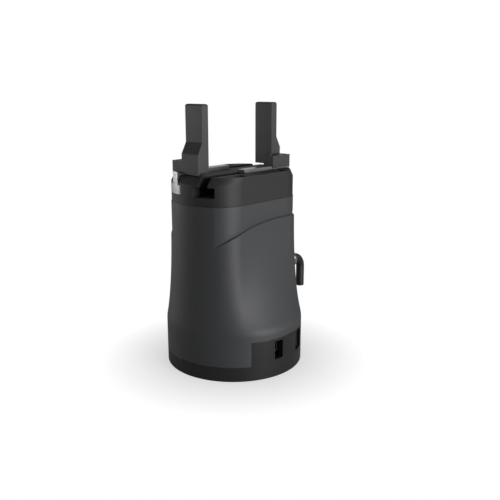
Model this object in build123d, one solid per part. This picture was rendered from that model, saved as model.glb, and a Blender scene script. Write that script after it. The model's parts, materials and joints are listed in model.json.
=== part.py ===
"""Electric parallel gripper whose two fingers are driven by a rack and pinion.

Millimetres, +Z up, origin at the centre of the mounting face. The fingers slide along X.
"near" is the -Y side, whose finger opens towards +X. "far" is the +Y side, whose finger opens
towards -X. All pieces are stored with the fingers fully open.
"""
from build123d import *
import math
import os

# Body outline: two end arcs, two long faces and rounded corners on a round foot
base_radius = 37.5
end_radius = 34.4
face_half_width = 22.4
corner_radius = 16.0
lower_corner_radius = 13.0
lower_face_step = 0.8
arch_centre_x = 12.0
arch_half_width = 44.3
arch_crown_z = 80.6
arch_height = 14.9
arch_end_gap = 0.3

# Heights above the mounting face
base_height = 7.7
collar_top = 25.5
housing_top = 90.7
head_top = 105.0

# Shell thicknesses
housing_wall = 3.0
skirt_wall = 3.0
skirt_cavity_top = 21.5
outline_points = 96
flare_sections = 10
flare_power = 2.7

# Fits between pieces
seat_gap = 0.05
slide_clearance = 0.05
journal_clearance = 0.04
panel_gap = 0.15

# Robot flange pattern
flange_pcd = 50.0
flange_hole_radius = 2.5
flange_hole_count = 4
flange_hole_angle = 45.0
pilot_radius = 15.75
pilot_depth = 3.0
dowel_radius = 3.0
dowel_depth = 6.0

# Port cover on the foot, a raised tongue of the base with two windows
tongue_half_width = 20.6
tongue_top = 21.0
narrow_window_left = -8.1
narrow_window_width = 5.6
narrow_window_bottom = 9.5
narrow_window_top = 19.5
wide_window_left = 9.6
wide_window_width = 7.7
wide_window_bottom = 8.9
wide_window_top = 19.9

# M3 socket screws
m3_radius = 1.5
m3_clearance_radius = 1.7
m3_head_radius = 2.75
m3_head_height = 3.0
m3_key_radius = 1.44
m3_bore_radius = 3.0
m3_bore_depth = 3.6
base_screw_circle = 31.0
base_screw_angle = 38.0
base_screw_length = 12.0
base_boss_radius = 4.0
head_screw_x = 15.5
head_screw_y = 18.8
head_screw_length = 18.0
head_boss_radius = 3.6
plate_screw_x = 25.2
plate_screw_y = 11.8
plate_screw_length = 10.0
plate_boss_radius = 4.2
plate_boss_top = 82.0
hole_runout = 1.0

# Head bevel and T-slots
head_bevel_height = 3.75
head_bevel_inset = 3.1
head_spigot_height = 2.5
slot_centre = 9.95
slot_floor_z = 95.1
slot_step_z = 100.1
slot_narrow_half = 2.6

# Rack and pinion
rack_module = 0.6
pinion_teeth = 16
addendum_factor = 0.8
root_gap = 0.12
tooth_backlash = 0.1
pressure_angle = math.radians(20.0)
flank_steps = 4

# Slides
slide_inner_end = 5.0
slide_top_z = 106.6
slide_end_recess = 0.1

# Fingers
finger_opening = 48.6
finger_closed_gap = 0.6
finger_tip_z = 140.1
finger_tip_thickness = 4.15
finger_foot_thickness = 7.3
finger_half_width = 6.0
finger_slant_top = 121.5
finger_slant_bottom = 115.7
finger_tip_fillet = 1.0
finger_base_bottom = 105.5
finger_base_top = 112.1
finger_base_length = 14.25
finger_base_outer = 13.0
finger_pass_gap = 0.2
finger_lip_length = 2.1
m25_radius = 1.25
m25_clearance_radius = 1.45
m25_head_radius = 2.25
m25_head_height = 2.5
m25_key_radius = 1.15
m25_bore_radius = 2.5
m25_bore_depth = 2.9
m25_length = 11.0
finger_screw_edge = 3.1
finger_screw_pitch = 8.0

# Pinion shaft and its bearings
journal_radius = 2.0
shaft_radius = 2.5
pinion_cavity_gap = 0.35
bush_wall = 1.4
bush_length = 3.6
bearing_outer_radius = 5.5
bearing_width = 4.0
bearing_ball_radius = 0.8
bearing_ball_circle = 4.1
bearing_race_gap = 1.2
bearing_ball_count = 9
ball_clearance = 0.05
retainer_radius = 9.5
retainer_thickness = 1.5
m2_radius = 1.0
m2_head_radius = 1.9
m2_head_height = 1.2
m2_key_radius = 0.8
m2_length = 4.0
retainer_screw_circle = 7.4
retainer_screw_count = 3
retainer_screw_angle = 90.0
coupling_radius = 7.0
coupling_length = 12.0
coupling_drop = 2.7
coupling_split = 1.0

# Planetary reduction, ring gear fixed
planet_module = 0.5
sun_teeth = 18
planet_teeth = 18
planet_count = 3
ring_outer_radius = 17.5
plate_bottom = 66.0
plate_thickness = 4.0
ring_bottom = 50.0
gear_bottom = 52.0
gear_width = 6.0
carrier_gap = 0.6
carrier_thickness = 3.0
carrier_radius = 12.0
planet_pin_radius = 1.2

# Motor
motor_bottom = 23.0
motor_wall = 1.0
motor_cap = 2.0
rotor_shaft_radius = 2.0
stator_bottom = 29.0
stator_top = 44.0
stator_inner_radius = 9.2
stator_yoke_radius = 13.6
stator_slots = 9
stator_tooth_width = 3.2
winding_thickness = 1.1
winding_overhang = 1.8
winding_inset = 0.6
air_gap = 0.5
motor_bush_wall = 1.6
encoder_magnet_radius = 3.0
encoder_magnet_height = 2.0
encoder_board_radius = 9.0
encoder_board_thickness = 1.0
encoder_chip_size = 4.0
encoder_chip_height = 0.8
encoder_chip_gap = 0.8
encoder_spacer_circle = 7.2
encoder_spacer_radius = 1.3
encoder_spacer_count = 3
encoder_spacer_angle = 30.0

# Driver board
board_bottom = 11.0
board_thickness = 1.6
board_radius = 26.0
board_tab_half_width = 17.6
standoff_radius = 2.4
standoff_x = 10.0
standoff_y = 20.0
chip_size = 9.0
chip_height = 1.4
capacitor_radius = 2.6
capacitor_height = 3.2
capacitor_x = 17.0
capacitor_pitch = 6.4
socket_depth = 8.0
socket_wall = 0.7
socket_top_gap = 0.4

# Round connector on the +X end
connector_z = 46.5
connector_seat_depth = 2.3
connector_hole_radius = 4.1
connector_flange_radius = 6.4
connector_flange_thickness = 1.5
connector_barrel_radius = 4.0
connector_barrel_length = 10.8
connector_bore_radius = 3.1
connector_rear_length = 6.2
locknut_thickness = 2.4
locknut_radius = 6.2
insert_rear_length = 7.7
insert_front_length = 7.8
contact_radius = 0.4
contact_circle = 1.5
contact_count = 4
contact_angle = 45.0
contact_setback = 1.0
seal_section_radius = 0.6
nut_start_gap = 8.3
nut_length = 9.5
nut_radius = 4.85
nut_knurls = 24
nut_knurl_depth = 0.25
nut_lip_radius = 3.7
plug_nose_depth = 6.4
plug_nose_radius = 3.6
plug_radius = 2.5
plug_bend_radius = 6.6
plug_arm_reach = 9.0
plug_drop = 19.0
plug_cable_radius = 1.6
plug_cable_depth = 8.0

# Sizes that follow from the ones above
pinion_pitch_radius = rack_module * pinion_teeth / 2
rack_addendum = rack_module * addendum_factor
rack_tip_y = pinion_pitch_radius - rack_addendum
slot_inner_y = rack_tip_y - slide_clearance
slot_wide_half = slot_centre - slot_inner_y
rack_pitch = math.pi * rack_module
slide_narrow_half = slot_narrow_half - slide_clearance
slide_wide_half = slot_wide_half - slide_clearance
finger_inner_x = finger_opening / 2
finger_outer_x = finger_inner_x + finger_foot_thickness
finger_stroke = (finger_opening - finger_closed_gap) / 2
finger_base_inner_x = finger_outer_x - finger_base_length
ring_teeth = sun_teeth + 2 * planet_teeth
planet_orbit = planet_module * (sun_teeth + planet_teeth) / 2
planet_addendum = planet_module * addendum_factor
gear_top = gear_bottom + gear_width
carrier_bottom = gear_top + carrier_gap
carrier_top = carrier_bottom + carrier_thickness
plate_top = plate_bottom + plate_thickness
flare_share = (housing_top - connector_z) / (housing_top - collar_top)
connector_wall_x = end_radius + (base_radius - end_radius) * flare_share ** flare_power
connector_seat_x = connector_wall_x - connector_seat_depth
connector_barrel_end = connector_seat_x + connector_barrel_length
connector_rear_x = connector_seat_x - connector_rear_length
insert_rear_x = connector_seat_x - insert_rear_length
insert_front_x = connector_seat_x + insert_front_length
nut_start_x = connector_seat_x + nut_start_gap
nut_end_x = nut_start_x + nut_length
plug_nose_x = nut_end_x - plug_nose_depth
plug_arm_x = nut_end_x + plug_arm_reach
plug_bottom_z = connector_z - plug_drop
head_bottom = housing_top
spigot_bottom = head_bottom - head_spigot_height
bearing_bottom = spigot_bottom
bearing_top = bearing_bottom + bearing_width
retainer_bottom = spigot_bottom - retainer_thickness
coupling_top = retainer_bottom - coupling_drop
coupling_bottom = coupling_top - coupling_length
coupling_middle = (coupling_top + coupling_bottom) / 2
board_top = board_bottom + board_thickness
encoder_magnet_bottom = motor_bottom - encoder_magnet_height
encoder_board_top = encoder_magnet_bottom - encoder_chip_gap - encoder_chip_height
base_tap_top = m3_bore_depth + base_screw_length + hole_runout
plate_tap_top = plate_bottom + plate_screw_length + hole_runout
nose_step = 0.5
foot_section = 1.0
cut_margin = 5.0


def cylinder(radius, bottom, top, x=0.0, y=0.0):
    """Upright round bar between two heights."""
    base = (Align.CENTER, Align.CENTER, Align.MIN)
    return Pos(x, y, bottom) * Cylinder(radius, top - bottom, align=base)


def tube(outer, inner, bottom, top, x=0.0, y=0.0):
    """Upright tube between two heights."""
    return cylinder(outer, bottom, top, x, y) - cylinder(inner, bottom, top, x, y)


def bar_x(radius, start, end):
    """Round bar along X at the connector's height."""
    base = (Align.CENTER, Align.CENTER, Align.MIN)
    return Pos(start, 0, connector_z) * Rot(0, 90, 0) * Cylinder(radius, end - start, align=base)


def block(low, high):
    """Box between two opposite corners."""
    size = [b - a for a, b in zip(low, high)]
    return Pos(*low) * Box(*size, align=(Align.MIN, Align.MIN, Align.MIN))


def prism(sketch, bottom, top):
    """Sketch in XY raised between two heights."""
    return Pos(0, 0, bottom) * extrude(sketch, top - bottom)


def side_prism(points, low_y, high_y):
    """Outline of (x, z) points drawn out along Y."""
    sketch = make_face(Polyline(*points, close=True))
    return extrude(Plane.XZ.offset(-high_y) * sketch, high_y - low_y)


def end_prism(points, low_x, high_x):
    """Outline of (y, z) points drawn out along X."""
    sketch = make_face(Polyline(*points, close=True))
    return extrude(Plane.YZ.offset(low_x) * sketch, high_x - low_x)


def ring_points(radius, count, start=0.0):
    """Centres of a ring of copies, as (x, y)."""
    angles = [math.radians(start + 360.0 * i / count) for i in range(count)]
    return [(radius * math.cos(a), radius * math.sin(a)) for a in angles]


def mirrored_points(x, y):
    """The four places of a pattern that is symmetric about both axes."""
    return [(sx * x, sy * y) for sx in (1, -1) for sy in (1, -1)]


def turned(piece):
    """The far side's copy of a near-side piece, half a turn about Z."""
    return Rot(0, 0, 180) * piece


def base_screw_places():
    angle = math.radians(base_screw_angle)
    return mirrored_points(base_screw_circle * math.cos(angle), base_screw_circle * math.sin(angle))


def retainer_screw_places():
    return ring_points(retainer_screw_circle, retainer_screw_count, retainer_screw_angle)


def body_outline(radius, half_width, corner):
    """Exact plan of the body: a circle with two flats and filleted corners."""
    plan = Circle(radius) & Rectangle(2 * radius, 2 * half_width)
    return fillet(plan.vertices(), corner)


def inner_outline(gap=0.0):
    """Plan of the housing's inside, less a gap for what fits in it."""
    inset = housing_wall + gap
    return body_outline(end_radius - inset, face_half_width - inset, corner_radius - inset)


def outline_radius(angle):
    """Distance of the lower body's plan from the axis in one direction."""
    half_width = face_half_width + lower_face_step
    centre_y = half_width - lower_corner_radius
    centre_x = math.sqrt((end_radius - lower_corner_radius) ** 2 - centre_y ** 2)
    across, along = abs(math.sin(angle)), abs(math.cos(angle))
    if math.atan2(across, along) <= math.atan2(centre_y, centre_x):
        return end_radius
    if along * half_width <= centre_x * across:
        return half_width / across
    offset = centre_x * across - centre_y * along
    return centre_x * along + centre_y * across + math.sqrt(lower_corner_radius ** 2 - offset ** 2)


def body_section(z, blend):
    """Smooth closed section between the body's plan and the round foot."""
    points = []
    for i in range(outline_points):
        angle = 2 * math.pi * i / outline_points
        plan = outline_radius(angle)
        radius = plan + (base_radius - plan) * blend
        points.append((radius * math.cos(angle), radius * math.sin(angle), z))
    return make_face(Spline(*points, periodic=True))


def flare():
    """The sides grow out from the head's plan to the round foot, faster towards the foot."""
    sections = []
    for i in range(flare_sections):
        share = i / (flare_sections - 1)
        z = housing_top + (collar_top - housing_top) * share
        sections.append(body_section(z, share ** flare_power))
    return loft(sections)


def arch_step():
    """Layer that is missing above the arch on both long faces."""
    reach = 2 * base_radius
    spring_z = arch_crown_z - arch_height
    above = block((-reach, -reach, spring_z), (reach, reach, housing_top + cut_margin))
    drum = extrude(Ellipse(arch_half_width, arch_height), reach, both=True)
    drum = Pos(arch_centre_x, 0, spring_z) * Rot(90, 0, 0) * drum
    kept = prism(body_outline(end_radius + arch_end_gap, face_half_width, corner_radius),
                 spring_z, housing_top + cut_margin)
    return above - drum - kept


def hex_key(radius, bottom, top, x=0.0, y=0.0):
    """Six-sided recess for a key."""
    return Pos(x, y, bottom) * extrude(RegularPolygon(radius, 6), top - bottom)


def socket_screw(x, y, seat_z, length, sizes, up=False):
    """Socket head screw whose head sits on seat_z and whose shank points down, or up."""
    radius, head_radius, head_height, key_radius = sizes
    head = cylinder(head_radius, 0, head_height)
    head -= hex_key(key_radius, head_height / 2, head_height)
    screw = head + cylinder(radius, -length, 0)
    if up:
        screw = Rot(180, 0, 0) * screw
    return Pos(x, y, seat_z) * screw


m3_sizes = (m3_radius, m3_head_radius, m3_head_height, m3_key_radius)
m25_sizes = (m25_radius, m25_head_radius, m25_head_height, m25_key_radius)
m2_sizes = (m2_radius, m2_head_radius, m2_head_height, m2_key_radius)


def involute(angle):
    return math.tan(angle) - angle


def gear_sketch(module, teeth, addendum, dedendum, thinning):
    """Involute gear with a tooth centred on +X, its teeth thinned for backlash."""
    pitch = module * teeth / 2
    base = pitch * math.cos(pressure_angle)
    half_at_pitch = (math.pi * module / 2 - thinning) / (2 * pitch)
    root = pitch - dedendum
    start = max(base, root)
    flank = []
    for i in range(flank_steps + 1):
        radius = start + (pitch + addendum - start) * i / flank_steps
        turn = half_at_pitch + involute(pressure_angle) - involute(math.acos(min(1.0, base / radius)))
        flank.append((radius, turn))
    if root < start:
        flank.insert(0, (root, flank[0][1]))
    points = []
    for tooth in range(teeth):
        middle = 2 * math.pi * tooth / teeth
        rising = [(radius, middle - turn) for radius, turn in flank]
        falling = [(radius, middle + turn) for radius, turn in reversed(flank)]
        points += [(r * math.cos(a), r * math.sin(a)) for r, a in rising + falling]
    return make_face(Polyline(*points, close=True))


def window(left, width, bottom, top):
    """Opening through the port cover's wall."""
    low = (left, -base_radius - cut_margin, bottom)
    return block(low, (left + width, -base_radius + 2 * skirt_wall, top))


def foot_ring_sector(half_width, bottom, top):
    """Part of the foot's wall on the -Y side."""
    wall = tube(base_radius, base_radius - skirt_wall, bottom, top)
    return wall & block((-half_width, -2 * base_radius, bottom), (half_width, 0, top))


def mounting_base():
    """Round foot with the robot's bolt pattern and the raised port cover."""
    base = cylinder(base_radius, 0, base_height)
    base += foot_ring_sector(tongue_half_width - panel_gap, base_height, tongue_top - panel_gap)
    base -= cylinder(pilot_radius, 0, pilot_depth)
    for x, y in ring_points(flange_pcd / 2, flange_hole_count, flange_hole_angle):
        base -= cylinder(flange_hole_radius, 0, base_height, x, y)
    base -= cylinder(dowel_radius, 0, dowel_depth, flange_pcd / 2, 0)
    for x, y in base_screw_places():
        base -= cylinder(m3_bore_radius, 0, m3_bore_depth, x, y)
        base -= cylinder(m3_clearance_radius, 0, base_height, x, y)
    base -= window(narrow_window_left, narrow_window_width, narrow_window_bottom, narrow_window_top)
    base -= window(wide_window_left, wide_window_width, wide_window_bottom, wide_window_top)
    return base


def base_screws():
    return [socket_screw(x, y, m3_bore_depth, base_screw_length, m3_sizes, up=True)
            for x, y in base_screw_places()]


def housing():
    """Hollow outer shell from the foot to the head."""
    collar = prism(body_section(0, foot_section), base_height, collar_top)
    shell = collar + flare()
    shell -= arch_step()
    shell -= prism(inner_outline(), base_height, housing_top)
    shell -= cylinder(base_radius - skirt_wall, base_height, skirt_cavity_top)
    for x, y in base_screw_places():
        shell += cylinder(base_boss_radius, base_height, skirt_cavity_top, x, y)
        shell -= cylinder(m3_radius + seat_gap, base_height, base_tap_top, x, y)
    for x, y in mirrored_points(head_screw_x, head_screw_y):
        shell += cylinder(head_boss_radius, plate_top, housing_top, x, y)
        shell -= cylinder(m3_radius + seat_gap, plate_top, housing_top, x, y)
    for x, y in mirrored_points(plate_screw_x, plate_screw_y):
        shell += cylinder(plate_boss_radius, plate_top, plate_boss_top, x, y)
        shell -= cylinder(m3_radius + seat_gap, plate_top, plate_tap_top, x, y)
    shell -= foot_ring_sector(tongue_half_width, base_height, tongue_top)
    shell -= bar_x(connector_flange_radius + panel_gap, connector_seat_x, base_radius + cut_margin)
    shell -= bar_x(connector_hole_radius, 0, base_radius)
    return shell


def slot_profile(narrow_half, wide_half, floor_z, step_z, top_z):
    """T outline in (y, z) about the near slot's centre."""
    return [(-slot_centre - wide_half, floor_z), (-slot_centre + wide_half, floor_z),
            (-slot_centre + wide_half, step_z), (-slot_centre + narrow_half, step_z),
            (-slot_centre + narrow_half, top_z), (-slot_centre - narrow_half, top_z),
            (-slot_centre - narrow_half, step_z), (-slot_centre - wide_half, step_z)]


def near_slot():
    """T-slot that runs right through the head on the near side."""
    profile = slot_profile(slot_narrow_half, slot_wide_half, slot_floor_z, slot_step_z,
                           head_top + cut_margin)
    reach = end_radius + cut_margin
    return end_prism(profile, -reach, reach)


def head_body():
    """Upright sides under a bevel that only draws in the two ends and their corners."""
    outline = body_outline(end_radius, face_half_width, corner_radius)
    bevel_bottom = head_top - head_bevel_height
    narrowed = scale(outline, by=(1 - head_bevel_inset / end_radius, 1, 1))
    bevel = loft([Pos(0, 0, bevel_bottom) * outline, Pos(0, 0, head_top) * narrowed], ruled=True)
    return prism(outline, head_bottom, bevel_bottom) + bevel


def pinion_cavity_radius():
    return pinion_pitch_radius + rack_addendum + pinion_cavity_gap


def head_block():
    """Guide block with the two T-slots, the pinion's chamber and the bearing seats."""
    head = head_body()
    head += prism(inner_outline(seat_gap), spigot_bottom, head_bottom)
    for x, y in mirrored_points(head_screw_x, head_screw_y):
        head -= cylinder(head_boss_radius + seat_gap, spigot_bottom, head_bottom, x, y)
    head -= near_slot()
    head -= turned(near_slot())
    head -= cylinder(pinion_cavity_radius(), bearing_top, slot_step_z)
    head -= cylinder(bearing_outer_radius, bearing_bottom, bearing_top)
    head -= cylinder(journal_radius + bush_wall, slot_step_z, slot_step_z + bush_length)
    for x, y in mirrored_points(head_screw_x, head_screw_y):
        head -= cylinder(m3_clearance_radius, head_bottom, head_top, x, y)
        head -= cylinder(m3_bore_radius, head_top - m3_bore_depth, head_top, x, y)
    for x, y in retainer_screw_places():
        head -= cylinder(m2_radius + seat_gap, spigot_bottom, spigot_bottom + m2_length, x, y)
    return head


def head_screws():
    return [socket_screw(x, y, head_top - m3_bore_depth, head_screw_length, m3_sizes)
            for x, y in mirrored_points(head_screw_x, head_screw_y)]


def rack_gap(centre_x):
    """One tooth space of the near rack, which faces +Y."""
    slope = math.tan(pressure_angle)
    half_pitch = (rack_pitch / 2 + tooth_backlash) / 2
    depth = rack_addendum + root_gap
    mouth = rack_addendum + slide_clearance
    half_root = half_pitch - depth * slope
    half_mouth = half_pitch + mouth * slope
    root_y = -pinion_pitch_radius - depth
    mouth_y = -pinion_pitch_radius + mouth
    outline = [(centre_x - half_root, root_y), (centre_x + half_root, root_y),
               (centre_x + half_mouth, mouth_y), (centre_x - half_mouth, mouth_y)]
    return prism(make_face(Polyline(*outline, close=True)), slot_floor_z, slot_step_z)


def finger_screw_places():
    first = finger_base_inner_x + finger_screw_edge
    return [(first, -slot_centre), (first + finger_screw_pitch, -slot_centre)]


def near_slide():
    """T-shaped slide with the rack on its inner side, outer end flush with the head's arc."""
    profile = slot_profile(slide_narrow_half, slide_wide_half, slot_floor_z + slide_clearance,
                           slot_step_z - slide_clearance, slide_top_z)
    slide = end_prism(profile, -slide_inner_end, end_radius)
    slide &= cylinder(end_radius - slide_end_recess, slot_floor_z, slide_top_z)
    first = math.ceil(-slide_inner_end / rack_pitch)
    last = math.floor(math.sqrt(end_radius ** 2 - rack_tip_y ** 2) / rack_pitch)
    for tooth in range(first, last + 1):
        slide -= rack_gap(tooth * rack_pitch)
    for x, y in finger_screw_places():
        slide -= cylinder(m25_radius + seat_gap, slot_floor_z, slide_top_z, x, y)
    return slide


def near_finger():
    """Gripping finger: upright column with a slanted back on a foot that straddles the slide."""
    tip_outer_x = finger_inner_x + finger_tip_thickness
    lip_x = finger_outer_x - finger_lip_length
    column = side_prism([(finger_inner_x, slide_top_z), (lip_x, slide_top_z),
                         (finger_outer_x, finger_base_bottom), (finger_outer_x, finger_slant_bottom),
                         (tip_outer_x, finger_slant_top), (tip_outer_x, finger_tip_z),
                         (finger_inner_x, finger_tip_z)], -finger_half_width, finger_half_width)
    column = fillet(column.faces().sort_by(Axis.Z)[-1].edges(), finger_tip_fillet)
    inner_y = finger_half_width + finger_pass_gap
    foot = block((finger_base_inner_x, -finger_base_outer, finger_base_bottom),
                 (finger_outer_x, -inner_y, finger_base_top))
    web = block((finger_inner_x, -inner_y, slide_top_z), (finger_outer_x, 0, finger_base_top))
    finger = column + foot + web
    groove_half = slide_narrow_half + slide_clearance
    finger -= block((0, -slot_centre - groove_half, finger_base_bottom),
                    (finger_outer_x + cut_margin, -slot_centre + groove_half, slide_top_z))
    for x, y in finger_screw_places():
        finger -= cylinder(m25_clearance_radius, slide_top_z, finger_base_top, x, y)
        finger -= cylinder(m25_bore_radius, finger_base_top - m25_bore_depth, finger_base_top, x, y)
    return finger


def near_finger_screws():
    return [socket_screw(x, y, finger_base_top - m25_bore_depth, m25_length, m25_sizes)
            for x, y in finger_screw_places()]


def pinion():
    """Pinion and its shaft in one piece."""
    sketch = gear_sketch(rack_module, pinion_teeth, rack_addendum, rack_addendum + root_gap, tooth_backlash)
    gear = prism(sketch, slot_floor_z + slide_clearance, slot_step_z - slide_clearance)
    gear += cylinder(journal_radius, slot_floor_z, slot_step_z + bush_length)
    gear += cylinder(shaft_radius, coupling_middle + coupling_split / 2, slot_floor_z + slide_clearance)
    return gear


def upper_bush():
    inner = journal_radius + journal_clearance
    return tube(journal_radius + bush_wall, inner, slot_step_z, slot_step_z + bush_length)


def ball_groove(middle_z):
    return Pos(0, 0, middle_z) * Torus(bearing_ball_circle, bearing_ball_radius + ball_clearance)


def outer_race(bottom):
    inner = bearing_ball_circle + bearing_race_gap / 2
    race = tube(bearing_outer_radius, inner, bottom, bottom + bearing_width)
    return race - ball_groove(bottom + bearing_width / 2)


def inner_race(bottom):
    race = tube(bearing_ball_circle - bearing_race_gap / 2, shaft_radius, bottom, bottom + bearing_width)
    return race - ball_groove(bottom + bearing_width / 2)


def bearing_balls(bottom):
    return [Pos(x, y, bottom + bearing_width / 2) * Sphere(bearing_ball_radius)
            for x, y in ring_points(bearing_ball_circle, bearing_ball_count)]


def bearing_retainer():
    """Round plate that holds the bearing up in the head."""
    hole = bearing_ball_circle + bearing_race_gap / 2
    plate = tube(retainer_radius, hole, retainer_bottom, spigot_bottom)
    for x, y in retainer_screw_places():
        plate -= cylinder(m2_radius + seat_gap, retainer_bottom, spigot_bottom, x, y)
    return plate


def retainer_screws():
    return [socket_screw(x, y, retainer_bottom, m2_length, m2_sizes, up=True)
            for x, y in retainer_screw_places()]


def clamp_heights():
    quarter = coupling_length / 4
    return [coupling_middle - quarter, coupling_middle + quarter]


def shaft_coupling():
    """Sleeve that joins the reduction's output shaft to the pinion shaft."""
    sleeve = tube(coupling_radius, shaft_radius, coupling_bottom, coupling_top)
    for z in clamp_heights():
        sleeve -= Pos(0, shaft_radius, z) * Rot(-90, 0, 0) * Cylinder(
            m2_radius + seat_gap, coupling_radius, align=(Align.CENTER, Align.CENTER, Align.MIN))
    return sleeve


def coupling_screws():
    """Grub screws that press on the two shafts."""
    screws = []
    for z in clamp_heights():
        length = coupling_radius - shaft_radius - seat_gap
        screw = cylinder(m2_radius, 0, length) - hex_key(m2_radius / 2, length / 2, length)
        screws.append(Pos(0, shaft_radius + seat_gap, z) * Rot(-90, 0, 0) * screw)
    return screws


def drive_plate():
    """Plate that carries the reduction and motor, screwed up under the housing's bosses."""
    plate = prism(inner_outline(seat_gap), plate_bottom, plate_top)
    plate -= cylinder(bearing_outer_radius, plate_bottom, plate_top)
    for x, y in mirrored_points(plate_screw_x, plate_screw_y):
        plate -= cylinder(m3_clearance_radius, plate_bottom, plate_top, x, y)
    return plate


def plate_screws():
    return [socket_screw(x, y, plate_bottom, plate_screw_length, m3_sizes, up=True)
            for x, y in mirrored_points(plate_screw_x, plate_screw_y)]


def planet_carrier():
    """Carrier disc with three pins and the output shaft."""
    carrier = cylinder(carrier_radius, carrier_bottom, carrier_top)
    carrier += cylinder(shaft_radius, carrier_top, coupling_middle - coupling_split / 2)
    for x, y in ring_points(planet_orbit, planet_count):
        carrier += cylinder(planet_pin_radius, gear_bottom, carrier_bottom, x, y)
    return carrier


def planet_gear(x, y, turn):
    """Planet with a tooth space facing the sun."""
    sketch = gear_sketch(planet_module, planet_teeth, planet_addendum, planet_addendum + root_gap,
                         tooth_backlash)
    gear = Rot(0, 0, turn) * prism(sketch, gear_bottom, gear_top)
    return Pos(x, y, 0) * gear - cylinder(planet_pin_radius + journal_clearance, gear_bottom, gear_top, x, y)


def planet_gears():
    half_tooth = 180.0 / planet_teeth
    step = 360.0 / planet_count
    places = ring_points(planet_orbit, planet_count)
    return [planet_gear(x, y, i * step + half_tooth) for i, (x, y) in enumerate(places)]


def gearbox_ring():
    """Fixed ring gear that is also the reduction's case."""
    space = gear_sketch(planet_module, ring_teeth, planet_addendum + root_gap, planet_addendum,
                        -tooth_backlash)
    half_tooth = 180.0 / ring_teeth
    clear_radius = planet_module * ring_teeth / 2 + planet_addendum + root_gap
    case = cylinder(ring_outer_radius, ring_bottom, plate_bottom)
    case -= Rot(0, 0, half_tooth) * prism(space, ring_bottom, gear_top)
    case -= cylinder(clear_radius, gear_top, plate_bottom)
    return case


def rotor_shaft():
    """Motor shaft with the sun gear cut on its upper end."""
    sketch = gear_sketch(planet_module, sun_teeth, planet_addendum, planet_addendum + root_gap,
                         tooth_backlash)
    return prism(sketch, gear_bottom, gear_top) + cylinder(rotor_shaft_radius, motor_bottom, gear_bottom)


def rotor_magnets():
    return tube(stator_inner_radius - air_gap, rotor_shaft_radius, stator_bottom, stator_top)


def motor_case():
    """Motor can with both end caps, bored for the shaft's bushes."""
    case = cylinder(ring_outer_radius, motor_bottom, ring_bottom)
    case -= cylinder(ring_outer_radius - motor_wall, motor_bottom + motor_cap, ring_bottom - motor_cap)
    return case - cylinder(rotor_shaft_radius + motor_bush_wall, motor_bottom, ring_bottom)


def motor_bushes():
    outer = rotor_shaft_radius + motor_bush_wall
    inner = rotor_shaft_radius + journal_clearance
    lower = tube(outer, inner, motor_bottom, motor_bottom + motor_cap)
    return [lower, tube(outer, inner, ring_bottom - motor_cap, ring_bottom)]


def stator_tooth_bar(width, inner, outer, bottom, top):
    return block((inner, -width / 2, bottom), (outer, width / 2, top))


def stator_core():
    """Laminated ring with inward teeth."""
    core = tube(ring_outer_radius - motor_wall - seat_gap, stator_yoke_radius, stator_bottom, stator_top)
    bite = (ring_outer_radius - motor_wall - stator_yoke_radius) / 2
    for i in range(stator_slots):
        bar = stator_tooth_bar(stator_tooth_width, stator_inner_radius, stator_yoke_radius + bite,
                               stator_bottom, stator_top)
        core += Rot(0, 0, i * 360.0 / stator_slots) * bar
    return core


def stator_windings():
    """One copper coil round each stator tooth."""
    inner = stator_inner_radius + winding_inset
    outer = stator_yoke_radius - winding_inset
    coil = stator_tooth_bar(stator_tooth_width + 2 * winding_thickness, inner, outer,
                            stator_bottom - winding_overhang, stator_top + winding_overhang)
    coil -= stator_tooth_bar(stator_tooth_width + 2 * seat_gap, inner, outer,
                             stator_bottom - seat_gap, stator_top + seat_gap)
    return [Rot(0, 0, i * 360.0 / stator_slots) * coil for i in range(stator_slots)]


def encoder_magnet():
    return cylinder(encoder_magnet_radius, encoder_magnet_bottom, motor_bottom)


def encoder_board():
    """Small board with the angle sensor under the motor shaft."""
    board = cylinder(encoder_board_radius, encoder_board_top - encoder_board_thickness, encoder_board_top)
    half = encoder_chip_size / 2
    top = encoder_board_top + encoder_chip_height
    return board + block((-half, -half, encoder_board_top), (half, half, top))


def encoder_spacers():
    return [cylinder(encoder_spacer_radius, encoder_board_top, motor_bottom, x, y)
            for x, y in ring_points(encoder_spacer_circle, encoder_spacer_count, encoder_spacer_angle)]


def cavity_reach(x):
    """How far out along -Y a piece can go inside the foot's wall at one x."""
    return math.sqrt((base_radius - skirt_wall - panel_gap) ** 2 - x ** 2)


def driver_board():
    """Motor driver board with a tab that reaches the port cover."""
    outline = Circle(board_radius)
    reach = cavity_reach(board_tab_half_width)
    tab = Pos(0, -reach / 2) * Rectangle(2 * board_tab_half_width, reach)
    return prism(outline + tab, board_bottom, board_top)


def board_standoffs():
    return [cylinder(standoff_radius, base_height, board_bottom, x, y)
            for x, y in mirrored_points(standoff_x, standoff_y)]


def board_components():
    """Driver chip and capacitors, each a solid on the board."""
    half = chip_size / 2
    pieces = [block((-half, half, board_top), (half, half + chip_size, board_top + chip_height))]
    for i in (-1, 0, 1):
        for side in (-1, 1):
            pieces.append(cylinder(capacitor_radius, board_top, board_top + capacitor_height,
                                   side * capacitor_x, i * capacitor_pitch))
    return pieces


def port_socket(left, width, top):
    """Socket on the driver board, open towards the window of the port cover."""
    outer_y = -cavity_reach(max(abs(left), abs(left + width)))
    low = (left + panel_gap, outer_y, board_top)
    high = (left + width - panel_gap, outer_y + socket_depth, top - socket_top_gap)
    shell = block(low, high)
    cavity_low = (low[0] + socket_wall, low[1] - cut_margin, low[2] + socket_wall)
    cavity_high = (high[0] - socket_wall, high[1] - socket_wall, high[2] - socket_wall)
    return shell - block(cavity_low, cavity_high)


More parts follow.
